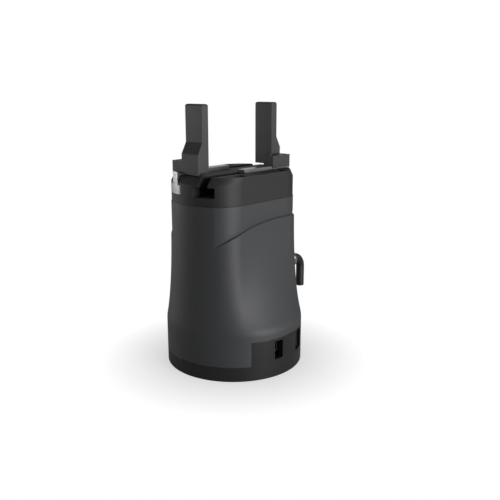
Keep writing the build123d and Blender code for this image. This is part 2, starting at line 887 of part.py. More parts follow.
def connector_socket():
    """Metal receptacle that passes through the housing's end wall."""
    body = bar_x(connector_barrel_radius, connector_rear_x, connector_barrel_end)
    body += bar_x(connector_flange_radius, connector_seat_x, connector_seat_x + connector_flange_thickness)
    return body - bar_x(connector_bore_radius, connector_rear_x, connector_barrel_end)


def connector_locknut():
    """Hexagonal nut behind the housing's end wall."""
    wall_x = math.sqrt((end_radius - housing_wall) ** 2 - locknut_radius ** 2)
    inner_x = wall_x - seat_gap - locknut_thickness
    blank = Pos(inner_x, 0, connector_z) * Rot(0, 90, 0) * extrude(RegularPolygon(locknut_radius, 6),
                                                                   locknut_thickness)
    return blank - bar_x(connector_barrel_radius + seat_gap, 0, base_radius)


def contact_places():
    return [(y, connector_z + z) for y, z in ring_points(contact_circle, contact_count, contact_angle)]


def contact_bar(place, start, end, radius):
    y, z = place
    base = (Align.CENTER, Align.CENTER, Align.MIN)
    return Pos(start, y, z) * Rot(0, 90, 0) * Cylinder(radius, end - start, align=base)


def connector_insert():
    """Insulator that holds the contacts."""
    insert = bar_x(connector_bore_radius, insert_rear_x + nose_step, insert_front_x)
    for place in contact_places():
        insert -= contact_bar(place, insert_rear_x, insert_front_x, contact_radius)
    return insert


def connector_contacts():
    return [contact_bar(place, insert_rear_x, connector_barrel_end - contact_setback, contact_radius)
            for place in contact_places()]


def connector_seal():
    """Rubber ring squeezed between the receptacle's flange and the nut."""
    centre_x = connector_seat_x + connector_flange_thickness + seal_section_radius
    ring = Torus(connector_barrel_radius + seal_section_radius, seal_section_radius)
    return Pos(centre_x, 0, connector_z) * Rot(0, 90, 0) * ring


def coupling_nut():
    """Knurled nut of the plug, screwed on the receptacle."""
    nut = bar_x(nut_radius, nut_start_x, nut_end_x)
    nut -= bar_x(connector_barrel_radius + seat_gap, nut_start_x, plug_nose_x + nose_step)
    nut -= bar_x(nut_lip_radius, nut_start_x, nut_end_x)
    for y, z in ring_points(nut_radius, nut_knurls):
        nut -= contact_bar((y, connector_z + z), nut_start_x, nut_end_x, nut_knurl_depth)
    return nut


def plug_body():
    """Right-angle moulded plug that turns down beside the housing."""
    bend_start = plug_arm_x - plug_bend_radius
    nose = bar_x(plug_nose_radius, plug_nose_x, nut_end_x)
    path = Line((nut_end_x, 0, connector_z), (bend_start, 0, connector_z))
    bend_centre_z = connector_z - plug_bend_radius
    half_turn = plug_bend_radius / math.sqrt(2)
    middle = (bend_start + half_turn, 0, bend_centre_z + half_turn)
    path += ThreePointArc((bend_start, 0, connector_z), middle, (plug_arm_x, 0, bend_centre_z))
    path += Line((plug_arm_x, 0, bend_centre_z), (plug_arm_x, 0, plug_bottom_z))
    section = Plane(origin=(nut_end_x, 0, connector_z), z_dir=(1, 0, 0)) * Circle(plug_radius)
    body = nose + sweep(section, path=path)
    bore = cylinder(plug_cable_radius, plug_bottom_z, plug_bottom_z + plug_cable_depth, plug_arm_x, 0)
    return body - bore


def all_parts():
    """Every piece by the name of its node."""
    planets = planet_gears()
    parts = {
        "mounting_base": mounting_base(),
        "base_screws": base_screws(),
        "housing": housing(),
        "head_block": head_block(),
        "head_screws": head_screws(),
        "near_slide": near_slide(),
        "far_slide": turned(near_slide()),
        "near_finger": near_finger(),
        "far_finger": turned(near_finger()),
        "near_finger_screws": near_finger_screws(),
        "far_finger_screws": [turned(screw) for screw in near_finger_screws()],
        "pinion": pinion(),
        "upper_bush": upper_bush(),
        "pinion_bearing_outer_race": outer_race(bearing_bottom),
        "pinion_bearing_inner_race": inner_race(bearing_bottom),
        "pinion_bearing_balls": bearing_balls(bearing_bottom),
        "bearing_retainer": bearing_retainer(),
        "retainer_screws": retainer_screws(),
        "shaft_coupling": shaft_coupling(),
        "coupling_screws": coupling_screws(),
        "drive_plate": drive_plate(),
        "plate_screws": plate_screws(),
        "output_bearing_outer_race": outer_race(plate_bottom),
        "output_bearing_inner_race": inner_race(plate_bottom),
        "output_bearing_balls": bearing_balls(plate_bottom),
        "planet_carrier": planet_carrier(),
        "gearbox_ring": gearbox_ring(),
        "rotor_shaft": rotor_shaft(),
        "rotor_magnets": rotor_magnets(),
        "motor_case": motor_case(),
        "motor_bushes": motor_bushes(),
        "stator_core": stator_core(),
        "stator_windings": stator_windings(),
        "encoder_magnet": encoder_magnet(),
        "encoder_board": encoder_board(),
        "encoder_spacers": encoder_spacers(),
        "driver_board": driver_board(),
        "board_standoffs": board_standoffs(),
        "board_components": board_components(),
        "service_socket": port_socket(narrow_window_left, narrow_window_width, narrow_window_top),
        "data_socket": port_socket(wide_window_left, wide_window_width, wide_window_top),
        "connector_socket": connector_socket(),
        "connector_locknut": connector_locknut(),
        "connector_insert": connector_insert(),
        "connector_contacts": connector_contacts(),
        "connector_seal": connector_seal(),
        "coupling_nut": coupling_nut(),
        "plug_body": plug_body(),
    }
    for i, planet in enumerate(planets, start=1):
        parts[f"planet_gear_{i}"] = planet
    return parts


def write_parts(parts):
    os.makedirs("parts", exist_ok=True)
    for name, piece in parts.items():
        shape = Compound(children=list(piece)) if isinstance(piece, list) else piece
        export_step(shape, f"parts/{name}.step")


write_parts(all_parts())
print("finger stroke", finger_stroke, "pinion pitch radius", pinion_pitch_radius)
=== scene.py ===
"""Looks of an electric two-finger gripper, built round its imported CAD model.

All shapes are worked out in millimetres as numpy grids and put into meshes in metres. The near side
is -Y, where the finger opens towards +X; the far side is the same half a turn about Z.
"""

import json
import logging
import math
from dataclasses import dataclass, field
from enum import Enum
from typing import Optional, Sequence, Union

import bmesh
import bpy
import numpy as np
from mathutils import Matrix, Vector

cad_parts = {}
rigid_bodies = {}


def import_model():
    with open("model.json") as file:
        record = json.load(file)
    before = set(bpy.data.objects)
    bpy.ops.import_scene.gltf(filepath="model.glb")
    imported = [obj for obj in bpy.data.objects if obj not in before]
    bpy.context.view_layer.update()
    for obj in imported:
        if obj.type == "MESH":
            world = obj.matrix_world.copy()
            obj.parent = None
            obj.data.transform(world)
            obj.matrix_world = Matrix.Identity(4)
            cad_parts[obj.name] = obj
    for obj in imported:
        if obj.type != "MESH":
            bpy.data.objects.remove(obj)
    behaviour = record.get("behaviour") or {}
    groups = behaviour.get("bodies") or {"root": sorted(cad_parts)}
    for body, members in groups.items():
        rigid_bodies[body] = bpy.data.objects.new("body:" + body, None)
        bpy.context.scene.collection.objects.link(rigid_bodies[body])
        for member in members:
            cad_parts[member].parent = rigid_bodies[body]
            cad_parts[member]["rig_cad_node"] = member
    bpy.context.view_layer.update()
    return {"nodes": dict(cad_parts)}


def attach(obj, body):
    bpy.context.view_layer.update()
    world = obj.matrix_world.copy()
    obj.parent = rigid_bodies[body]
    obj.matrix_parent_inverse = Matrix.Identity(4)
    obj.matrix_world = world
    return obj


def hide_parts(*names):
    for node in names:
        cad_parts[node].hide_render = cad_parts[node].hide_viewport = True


log = logging.getLogger("gripper")

Array = np.ndarray
Colour = tuple[float, float, float]
Number = Union[float, "Signal"]

METRES = 0.001


# Shader maths


@dataclass(frozen=True)
class Signal:
    """A shader socket that can be used in Python expressions; each operator adds its Math node."""

    tree: "Tree"
    socket: bpy.types.NodeSocket

    def _math(self, operation: str, first: Number, second: Optional[Number] = None) -> "Signal":
        """Add one Math node.

        Args:
            operation: the node's operation.
            first: its first operand.
            second: its second operand, if it takes one.

        Returns:
            The node's result.
        """
        operands = {0: first} if second is None else {0: first, 1: second}
        return self.tree.signal("ShaderNodeMath", {"operation": operation}, operands)

    def __add__(self, other: Number) -> "Signal":
        """Sum of the two."""
        return self._math("ADD", self, other)

    __radd__ = __add__

    def __sub__(self, other: Number) -> "Signal":
        """This less the other."""
        return self._math("SUBTRACT", self, other)

    def __mul__(self, other: Number) -> "Signal":
        """Product of the two."""
        return self._math("MULTIPLY", self, other)

    __rmul__ = __mul__

    def __truediv__(self, other: Number) -> "Signal":
        """This over the other."""
        return self._math("DIVIDE", self, other)

    def __pow__(self, other: Number) -> "Signal":
        """This raised to the other."""
        return self._math("POWER", self, other)

    def __gt__(self, other: Number) -> "Signal":
        """1 where this is the larger, otherwise 0."""
        return self._math("GREATER_THAN", self, other)

    def __lt__(self, other: Number) -> "Signal":
        """1 where this is the smaller, otherwise 0."""
        return self._math("LESS_THAN", self, other)

    def sine(self) -> "Signal":
        """Sine of this, in radians."""
        return self._math("SINE", self)

    def size(self) -> "Signal":
        """This without its sign."""
        return self._math("ABSOLUTE", self)

    def clipped(self) -> "Signal":
        """This held between 0 and 1."""
        return self._math("MINIMUM", self._math("MAXIMUM", self, 0.0), 1.0)


class Tree:
    """Node tree of one material, with its Principled shader."""

    def __init__(self, name: str) -> None:
        """Make the material.

        Args:
            name: the material's name.
        """
        self.material = bpy.data.materials.new(name)
        self.material.use_nodes = True
        self.nodes = self.material.node_tree.nodes
        self.links = self.material.node_tree.links
        self.shader = self.nodes["Principled BSDF"]

    def node(self, kind: str, settings: dict[str, object],
             inputs: dict[Union[int, str], object]) -> bpy.types.Node:
        """Add a node.

        Args:
            kind: the node's type.
            settings: its properties, set first; "stops" gives a ramp's (place, colour) pairs.
            inputs: values or signals of its sockets, by number or name.

        Returns:
            The node.
        """
        made = self.nodes.new(kind)
        for key, value in settings.items():
            if key == "stops":
                self._set_stops(made.color_ramp, value)
            else:
                setattr(made, key, value)
        for key, value in inputs.items():
            self.feed(made.inputs[key], value)
        return made

    @staticmethod
    def _set_stops(ramp: bpy.types.ColorRamp, stops: Sequence[tuple[float, Colour]]) -> None:
        """Set a ramp's stops.

        Args:
            ramp: the ramp.
            stops: two or more (place, colour) pairs.
        """
        while len(ramp.elements) < len(stops):
            ramp.elements.new(1.0)
        for element, (place, colour) in zip(ramp.elements, stops):
            element.position = place
            element.color = (*colour, 1.0)

    def feed(self, socket: bpy.types.NodeSocket, value: object) -> None:
        """Link or set one socket.

        Args:
            socket: the socket.
            value: a signal, a number or a colour.
        """
        if isinstance(value, Signal):
            self.links.new(value.socket, socket)
        elif isinstance(value, tuple) and len(value) == 3 and socket.type == "RGBA":
            socket.default_value = (*value, 1.0)
        else:
            socket.default_value = value

    def signal(
        self,
        kind: str,
        settings: dict[str, object],
        inputs: dict[Union[int, str], object],
        output: Union[int, str] = 0,
    ) -> Signal:
        """Add a node and give one of its outputs.

        Args:
            kind: the node's type.
            settings: its properties.
            inputs: its sockets' values or signals.
            output: the output's number or name.

        Returns:
            The output.
        """
        return Signal(self, self.node(kind, settings, inputs).outputs[output])

    def place(self, scale: tuple[float, float, float] = (1.0, 1.0, 1.0)) -> Signal:
        """Object coordinates in millimetres, stretched by a scale for each axis.

        Args:
            scale: pattern repeats for each millimetre, axis by axis.

        Returns:
            The vector.
        """
        source = self.signal("ShaderNodeTexCoord", {}, {}, "Object")
        factors = tuple(s / METRES for s in scale)
        return self.signal("ShaderNodeVectorMath", {"operation": "MULTIPLY"}, {0: source, 1: factors})

    def axes(self) -> tuple[Signal, Signal, Signal]:
        """The three object coordinates in millimetres, each as a number."""
        split = self.node("ShaderNodeSeparateXYZ", {}, {0: self.place()})
        return tuple(Signal(self, split.outputs[i]) for i in range(3))

    def noise(self, scale: tuple[float, float, float], detail: float = 2.0) -> Signal:
        """Smooth noise about 0.5.

        Args:
            scale: repeats for each millimetre, axis by axis.
            detail: how many finer layers it has.

        Returns:
            The noise.
        """
        sockets = {"Vector": self.place(scale), "Scale": 1.0, "Detail": detail, "Roughness": 0.55}
        return self.signal("ShaderNodeTexNoise", {}, sockets, "Fac")

    def blend(self, factor: Number, low: object, high: object) -> Signal:
        """Colour between two colours.

        Args:
            factor: 0 for the low one, 1 for the high one.
            low: colour or signal.
            high: colour or signal.

        Returns:
            The colour.
        """
        mix = self.node("ShaderNodeMix", {"data_type": "RGBA"}, {"Factor": factor})
        self.feed(mix.inputs[6], low)
        self.feed(mix.inputs[7], high)
        return Signal(self, mix.outputs[2])

    def bump(self, height: Signal, depth: float) -> Signal:
        """Normal of a surface with fine relief.

        Args:
            height: the relief, from 0 to 1.
            depth: its depth in millimetres.

        Returns:
            The normal.
        """
        sockets = {"Height": height, "Distance": depth * METRES, "Strength": 1.0}
        return self.signal("ShaderNodeBump", {}, sockets)

    def finish(self, **sockets: object) -> bpy.types.Material:
        """Feed the shader's sockets, underscores standing for spaces.

        Args:
            **sockets: values or signals by socket name.

        Returns:
            The material.
        """
        for name, value in sockets.items():
            self.feed(self.shader.inputs[name.replace("_", " ")], value)
        return self.material


# Finishes


def grey(level: float, blue: float = 0.0) -> Colour:
    """Linear colour of an even display grey.

    Args:
        level: the display value, 0 to 255.
        blue: how many display steps blue stands above red.

    Returns:
        Linear red, green and blue.
    """
    shares = [(level + step) / 255.0 for step in (-blue / 3, 0.0, 2 * blue / 3)]
    return tuple(s / 12.92 if s <= 0.04045 else ((s + 0.055) / 1.055) ** 2.4 for s in shares)


def shaded(colour: Colour, factor: float) -> Colour:
    """A colour made lighter or darker by a factor."""
    return tuple(c * factor for c in colour)


@dataclass(frozen=True)
class PaintedMetal:
    """Satin powder coat: an even colour with a fine pebbled skin."""

    colour: Colour
    roughness: float = 0.42
    pebble: float = 3.2
    depth: float = 0.006
    coat: float = 0.0

    def material(self, name: str) -> bpy.types.Material:
        """Colour drifts slowly over the surface and the pebbles also change the gloss."""
        tree = Tree(name)
        drift = tree.noise((0.035, 0.035, 0.05), 3.0)
        pebbles = tree.noise((self.pebble,) * 3, 1.0)
        colour = tree.blend(drift, shaded(self.colour, 0.93), shaded(self.colour, 1.07))
        return tree.finish(
            Base_Color=colour,
            Roughness=self.roughness + (pebbles - 0.5) * 0.10 + (drift - 0.5) * 0.06,
            Coat_Weight=self.coat,
            Normal=tree.bump(pebbles, self.depth),
        )


@dataclass(frozen=True)
class Anodised:
    """Anodised aluminium: blasted grain under a dark dye."""

    colour: Colour
    roughness: float = 0.4
    metallic: float = 0.35
    grain: float = 7.0
    depth: float = 0.004

    def material(self, name: str) -> bpy.types.Material:
        """Fine grain in relief and gloss, and a slow drift of the dye."""
        tree = Tree(name)
        drift = tree.noise((0.06, 0.06, 0.06), 2.0)
        grain = tree.noise((self.grain,) * 3, 2.0)
        colour = tree.blend(drift, shaded(self.colour, 0.9), shaded(self.colour, 1.1))
        return tree.finish(
            Base_Color=self.dye_and_painted_shade(tree, tree.blend(grain * 0.35, colour, shaded(self.colour, 1.35))),
            Roughness=self.roughness + (grain - 0.5) * 0.16,
            Metallic=self.metallic,
            Normal=tree.bump(grain, self.depth),
        )

    def dye_and_painted_shade(self, tree: Tree, colour: Signal) -> Signal:
        """The dye as it is; a kind of anodised piece may paint shade onto some of its places."""
        return colour


@dataclass(frozen=True)
class SlottedHead(Anodised):
    """Anodised head with two T-slots whose insides get painted shade."""

    # share of the colour left inside the slots: painted shade of the recesses
    slot_shade: float = 0.12
    slot_centre: float = 9.95
    wide_half: float = 5.8
    narrow_half: float = 2.62
    floor: float = 95.0
    step: float = 100.2

    def dye_and_painted_shade(self, tree: Tree, colour: Signal) -> Signal:
        """Painted shade within the T of both slots: a wide band of y low down and a narrow one above it."""
        _, y, z = tree.axes()
        off_centre = (y.size() - self.slot_centre).size()
        low = (z > self.floor) * (z < self.step) * (off_centre < self.wide_half)
        high = (z > self.step) * (off_centre < self.narrow_half)
        # painted shade: the slots' insides take a small share of the colour
        return tree.blend((low + high).clipped(), colour, shaded(self.colour, self.slot_shade))


class Lay(Enum):
    """Which way the tool marks of a machined face run."""

    ALONG_X = (0.08, 6.0, 6.0)
    ALONG_Y = (6.0, 0.08, 6.0)
    ALONG_Z = (6.0, 6.0, 0.08)
    EVEN = (3.5, 3.5, 3.5)


@dataclass(frozen=True)
class MachinedMetal:
    """Bare machined or ground metal with tool marks that run one way."""

    colour: Colour
    roughness: float = 0.25
    lay: Lay = Lay.EVEN
    depth: float = 0.003
    metallic: float = 1.0

    def material(self, name: str) -> bpy.types.Material:
        """Stretched noise gives the marks, and broad noise the stains of handling."""
        tree = Tree(name)
        marks = tree.noise(self.lay.value, 3.0)
        stain = tree.noise((0.25, 0.25, 0.25), 2.0)
        colour = tree.blend(marks, shaded(self.colour, 0.82), shaded(self.colour, 1.08))
        return tree.finish(
            Base_Color=colour,
            Roughness=self.roughness + (marks - 0.5) * 0.22 + (stain - 0.5) * 0.12,
            Metallic=self.metallic,
            Normal=tree.bump(marks, self.depth),
        )


@dataclass(frozen=True)
class Moulded:
    """Moulded plastic or rubber: spark-eroded texture, softly glossy."""

    colour: Colour
    roughness: float = 0.5
    texture: float = 4.0
    depth: float = 0.008

    def material(self, name: str) -> bpy.types.Material:
        """Cellular texture softened by noise."""
        tree = Tree(name)
        cells = tree.signal(
            "ShaderNodeTexVoronoi", {"feature": "SMOOTH_F1"},
            {"Vector": tree.place((self.texture,) * 3), "Scale": 1.0, "Smoothness": 0.6}, "Distance",
        )
        flow = tree.noise((0.3, 0.3, 0.3), 2.0)
        colour = tree.blend(flow, shaded(self.colour, 0.88), shaded(self.colour, 1.12))
        return tree.finish(
            Base_Color=colour,
            Roughness=self.roughness + (cells - 0.5) * 0.12 + (flow - 0.5) * 0.08,
            Normal=tree.bump(cells, self.depth),
        )


@dataclass(frozen=True)
class CircuitBoard:
    """Glass-epoxy board: solder mask with tracks, vias and bare pads."""

    mask: Colour
    copper: Colour
    pitch: float = 1.6

    def material(self, name: str) -> bpy.types.Material:
        """Tracks are the thin walls of brick cells, and the vias are dots on a grid."""
        tree = Tree(name)
        x, y, _ = tree.axes()
        bricks = {"Vector": tree.place((1.0, 1.0, 1.0)), "Scale": 1.0 / self.pitch, "Mortar Size": 0.09,
                  "Mortar Smooth": 0.2, "Brick Width": 1.7, "Row Height": 0.55,
                  "Color1": (0.0, 0.0, 0.0), "Color2": (0.0, 0.0, 0.0), "Mortar": (1.0, 1.0, 1.0)}
        tracks = tree.signal("ShaderNodeTexBrick", {"offset": 0.37}, bricks, "Fac")
        turn = 2.0 * math.pi / (2.5 * self.pitch)
        dots = ((x * turn).sine() * (y * turn).sine()) > 0.93
        tinted = tree.blend(tracks * 0.45, self.mask, shaded(self.mask, 2.2))
        return tree.finish(
            Base_Color=tree.blend(dots, tinted, self.copper),
            Roughness=0.3 + tracks * 0.15,
            Metallic=dots * 0.9,
            Normal=tree.bump(tracks, 0.03),
        )


@dataclass(frozen=True)
class Stacked:
    """Thin layers one on another: a motor's laminations, or the turns of a coil."""

    colour: Colour
    gap_colour: Colour
    pitch: float
    roughness: float = 0.3
    metallic: float = 1.0

    def material(self, name: str) -> bpy.types.Material:
        """Layers follow the height: a sine of Z, sharpened into a thin dark gap."""
        tree = Tree(name)
        _, _, z = tree.axes()
        wave = (z * (math.pi / self.pitch)).sine().size()
        sheen = tree.noise((2.0, 2.0, 2.0), 2.0)
        layer = (wave * 2.5).clipped()
        return tree.finish(
            Base_Color=tree.blend(layer, self.gap_colour, self.colour),
            Roughness=self.roughness + (sheen - 0.5) * 0.2,
            Metallic=self.metallic,
            Normal=tree.bump(wave, 0.05),
        )


Finish = Union[PaintedMetal, Anodised, MachinedMetal, Moulded, CircuitBoard, Stacked]

FINISHES: dict[str, Finish] = {
    "housing_paint": PaintedMetal(grey(63, 3), roughness=0.56),
    "black_anodised": Anodised(grey(38, 1), roughness=0.36, metallic=0.1),
    "head_anodised": SlottedHead(grey(36), roughness=0.6, metallic=0.0),
    "finger_anodised": Anodised(grey(84), roughness=0.4, metallic=0.7),
    "slide_steel": MachinedMetal(grey(170), roughness=0.34, lay=Lay.ALONG_X),
    "gear_steel": MachinedMetal(grey(165), roughness=0.28, lay=Lay.ALONG_Z),
    "bearing_steel": MachinedMetal(grey(205, 2), roughness=0.14, lay=Lay.ALONG_Z, depth=0.001),
    "bronze": MachinedMetal((0.42, 0.24, 0.09), roughness=0.35, lay=Lay.ALONG_Z),
    "screw_steel": MachinedMetal(grey(58), roughness=0.36, metallic=0.7),
    "plain_aluminium": MachinedMetal(grey(190, 2), roughness=0.36, lay=Lay.ALONG_X),
    "magnet": MachinedMetal(grey(96, 2), roughness=0.3, lay=Lay.ALONG_Z),
    "lamination_steel": Stacked(grey(150), grey(50), pitch=0.5),
    "copper": Stacked((0.55, 0.19, 0.07), (0.16, 0.05, 0.02), pitch=0.35, roughness=0.28),
    "circuit_board": CircuitBoard((0.006, 0.06, 0.03), (0.6, 0.36, 0.12)),
    "black_plastic": Moulded(grey(34), roughness=0.45),
    "socket_metal": MachinedMetal(grey(170), roughness=0.3, lay=Lay.ALONG_Y),
    "connector_nickel": MachinedMetal(grey(225, 2), roughness=0.15, lay=Lay.EVEN, depth=0.001),
    "contact_gold": MachinedMetal((0.75, 0.48, 0.15), roughness=0.2),
    "seal_rubber": Moulded(grey(30), roughness=0.6),
    "plug_rubber": Moulded(grey(34), roughness=0.42, depth=0.005),
}


class Workshop:
    """Makes each finish once and dresses pieces with it."""

    def __init__(self) -> None:
        """Start with no finish made."""
        self.made: dict[str, bpy.types.Material] = {}

    def material(self, slot: str) -> bpy.types.Material:
        """The finish of a material slot."""
        if slot not in self.made:
            self.made[slot] = FINISHES[slot].material(slot + "_finish")
        return self.made[slot]

    def dress(self, piece: bpy.types.Object, slot: str) -> None:
        """Give a piece one finish all over.

        Args:
            piece: the piece.
            slot: the record's material slot.
        """
        material = self.material(slot)
        if not piece.material_slots:
            piece.data.materials.append(material)
        for place in piece.material_slots:
            place.material = material

    def fit(self, piece: bpy.types.Object, slot: str, body: str, *nodes: str) -> bpy.types.Object:
        """Dress a new piece, let it move with its body and stand for CAD nodes.

        Args:
            piece: the new piece.
            slot: its material slot.
            body: the body that carries it.
            *nodes: the CAD nodes that it stands for.

        Returns:
            The piece.
        """
        self.dress(piece, slot)
        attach(piece, body)
        if nodes:
            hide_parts(*nodes)
        log.info("%s: %d faces on %s, for %s", piece.name, len(piece.data.polygons), body, nodes)
        return piece


# Surfaces, in mm


def mesh_object(name: str, points: Array, faces: Sequence[Sequence[int]]) -> bpy.types.Object:
    """Put points and faces into a new object at the origin.

    Args:
        name: the piece's name.
        points: (n, 3) array in millimetres.
        faces: corner numbers of each face.

    Returns:
        The object, linked to the scene.
    """
    mesh = bpy.data.meshes.new(name)
    mesh.from_pydata((points * METRES).tolist(), [], faces)
    made = bpy.data.objects.new(name, mesh)
    bpy.context.scene.collection.objects.link(made)
    return made


def grid_faces(rows: int, columns: int, wrap_rows: bool, wrap_columns: bool) -> Array:
    """Quads of a grid of points; seen from outside, rows go left to right and columns upwards.

    Args:
        rows: number of points along the first parameter.
        columns: number of points along the second.
        wrap_rows: whether the last row joins the first.
        wrap_columns: whether the last column joins the first.

    Returns:
        (rows, columns, 4) array of corner numbers, one quad for each cell.
    """
    first = np.arange(rows if wrap_rows else rows - 1)
    second = np.arange(columns if wrap_columns else columns - 1)
    i, j = np.meshgrid(first, second, indexing="ij")
    after_i, after_j = (i + 1) % rows, (j + 1) % columns
    corners = [i * columns + j, after_i * columns + j, after_i * columns + after_j, i * columns + after_j]
    return np.stack(corners, axis=-1)


def surface(
    name: str,
    points: Array,
    wrap_rows: bool = False,
    wrap_columns: bool = False,
    capped: bool = False,
    keep: Optional[Array] = None,
) -> bpy.types.Object:
    """Mesh of a grid of points.

    Args:
        name: the piece's name.
        points: (rows, columns, 3) array in millimetres.
        wrap_rows: whether the last row joins the first.
        wrap_columns: whether the last column joins the first.
        capped: whether the first and last column are closed by a face each.
        keep: cells that are kept, as a mask.

    Returns:
        The object.
    """
    rows, columns = points.shape[:2]
    cells = grid_faces(rows, columns, wrap_rows, wrap_columns)
    chosen = cells.reshape(-1, 4) if keep is None else cells[keep]
    faces = chosen.tolist()
    if capped:
        faces.append((np.arange(rows)[::-1] * columns).tolist())
        faces.append((np.arange(rows) * columns + columns - 1).tolist())
    return mesh_object(name, points.reshape(-1, 3), faces)


def polar(radius: Array, angle: Array, height: Array) -> Array:
    """Points about the Z axis: (r cos a, r sin a, h), the arrays spread over each other."""
    x, y, z = np.broadcast_arrays(radius * np.cos(angle), radius * np.sin(angle), height)
    return np.stack([x, y, z], axis=-1)


def angles(count: int) -> Array:
    """Even angles of a full turn, without the last one that repeats the first."""
    return np.arange(count) * (2.0 * math.pi / count)


def lathe(name: str, profile: Sequence[tuple[float, float]], count: int = 64) -> bpy.types.Object:
    """Solid of revolution about Z from a closed (radius, height) profile, listed anticlockwise.

    Args:
        name: the piece's name.
        profile: the profile's corners.
        count: facets round the axis.

    Returns:
        The object, its poles closed.
    """
    corners = np.asarray(profile, float)
    turn = angles(count)[:, None]
    made = surface(name, polar(corners[None, :, 0], turn, corners[None, :, 1]), True, True)
    tidy(made)
    return made


def prism(name: str, outline: Sequence[tuple[float, float]], low: float, high: float,
          axis: str) -> bpy.types.Object:
    """Flat outline drawn out along an axis.

    Args:
        name: the piece's name.
        outline: corners in the plane across the axis, X before Y before Z.
        low: where it starts along the axis.
        high: where it ends.
        axis: "X", "Y" or "Z".

    Returns:
        The closed solid.
    """
    flat = np.asarray(outline, float)
    grid = np.zeros((len(flat), 2, 3))
    along = "XYZ".index(axis)
    across = [i for i in range(3) if i != along]
    grid[:, :, across] = flat[:, None, :]
    grid[:, 0, along] = low
    grid[:, 1, along] = high
    made = surface(name, grid, True, False, capped=True)
    tidy(made)
    return made


def box(name: str, low: Sequence[float], high: Sequence[float]) -> bpy.types.Object:
    """Block between two opposite corners, as a prism along Z."""
    outline = [(low[0], low[1]), (high[0], low[1]), (high[0], high[1]), (low[0], high[1])]
    return prism(name, outline, low[2], high[2], "Z")


def tidy(piece: bpy.types.Object) -> None:
    """Merge doubled points and turn every face outwards."""
    work = bmesh.new()
    work.from_mesh(piece.data)
    bmesh.ops.remove_doubles(work, verts=work.verts, dist=1e-7)
    bmesh.ops.dissolve_degenerate(work, edges=work.edges, dist=1e-7)
    bmesh.ops.recalc_face_normals(work, faces=work.faces)
    work.to_mesh(piece.data)
    work.free()


def moved(piece: bpy.types.Object, matrix: Matrix) -> bpy.types.Object:
    """Carry a piece's mesh by a matrix in millimetres, its object staying at the origin."""
    scaled = matrix.copy()
    scaled.translation = matrix.translation * METRES
    piece.data.transform(scaled)
    return piece


def round_top(piece: bpy.types.Object, radius: float, steps: int = 5) -> None:
    """Round the edges of a piece's top face.

    Args:
        piece: the piece.
        radius: the rounding's radius in millimetres.
        steps: facets across it.
    """
    work = bmesh.new()
    work.from_mesh(piece.data)
    top = max(corner.co.z for corner in work.verts)
    rim = [edge for edge in work.edges if all(corner.co.z > top - 1e-6 for corner in edge.verts)]
    bmesh.ops.bevel(work, geom=rim, offset=radius * METRES, segments=steps, profile=0.5, affect="EDGES")
    work.to_mesh(piece.data)
    work.free()


def half_turn(piece: bpy.types.Object, name: str) -> bpy.types.Object:
    """The far side's copy of a near-side piece: x and y change sign."""
    copy = bpy.data.objects.new(name, piece.data.copy())
    bpy.context.scene.collection.objects.link(copy)
    copy.data.transform(Matrix.Rotation(math.pi, 4, "Z"))
    return copy


def settle(piece: bpy.types.Object) -> None:
    """Apply a piece's modifiers to its mesh."""
    graph = bpy.context.evaluated_depsgraph_get()
    graph.update()
    mesh = bpy.data.meshes.new_from_object(piece.evaluated_get(graph))
    piece.modifiers.clear()
    piece.data = mesh


def combine(piece: bpy.types.Object, tools: Sequence[bpy.types.Object], operation: str) -> bpy.types.Object:
    """Add tools to a piece or cut them from it.

    Args:
        piece: the piece that is changed.
        tools: solids that are used up.
        operation: "UNION", "DIFFERENCE" or "INTERSECT".

    Returns:
        The piece.
    """
    for tool in tools:
        step = piece.modifiers.new("combine", "BOOLEAN")
        step.operation = operation
        step.solver = "EXACT"
        step.object = tool
        settle(piece)
        bpy.data.objects.remove(tool)
    return piece


def join(name: str, pieces: Sequence[bpy.types.Object]) -> bpy.types.Object:
    """Gather several pieces into one object.

    Args:
        name: the new object's name.
        pieces: pieces that are used up.

    Returns:
        The object.
    """
    work = bmesh.new()
    for piece in pieces:
        work.from_mesh(piece.data)
        bpy.data.objects.remove(piece)
    mesh = bpy.data.meshes.new(name)
    work.to_mesh(mesh)
    work.free()
    made = bpy.data.objects.new(name, mesh)
    bpy.context.scene.collection.objects.link(made)
    return made


def round_edges(piece: bpy.types.Object, width: float, steps: int = 2, limit: float = 32.0) -> None:
    """Break a piece's sharp edges and shade the rest smoothly.

    Args:
        piece: the piece.
        width: the broken edge's width in millimetres.
        steps: facets across it.
        limit: angle in degrees from which an edge counts as sharp.
    """
    work = bmesh.new()
    work.from_mesh(piece.data)
    bmesh.ops.remove_doubles(work, verts=work.verts, dist=2e-6)
    bmesh.ops.dissolve_limit(work, angle_limit=math.radians(0.6), verts=work.verts, edges=work.edges)
    work.to_mesh(piece.data)
    work.free()
    bevel = piece.modifiers.new("edges", "BEVEL")
    bevel.width = width * METRES
    bevel.segments = steps
    bevel.limit_method = "ANGLE"
    bevel.angle_limit = math.radians(limit)
    bevel.miter_outer = "MITER_ARC"
    settle(piece)
    smooth(piece, 80.0)
    even = piece.modifiers.new("even", "WEIGHTED_NORMAL")
    even.weight = 100
    even.keep_sharp = True
    settle(piece)


def smooth(piece: bpy.types.Object, limit: float = 32.0) -> None:
    """Shade smoothly over edges below an angle in degrees."""
    piece.data.shade_smooth()
    piece.data.set_sharp_from_angle(angle=math.radians(limit))


def copy_of(node: str, name: str) -> bpy.types.Object:
    """A merged copy of a CAD node's mesh, to be finished as a piece of its own."""
    source = next(o for o in bpy.data.objects if o.get("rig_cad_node") == node)
    copy = bpy.data.objects.new(name, source.data.copy())
    bpy.context.scene.collection.objects.link(copy)
    work = bmesh.new()
    work.from_mesh(copy.data)
    bmesh.ops.remove_doubles(work, verts=work.verts, dist=1e-7)
    work.to_mesh(copy.data)
    work.free()
    return copy


# The body's shell


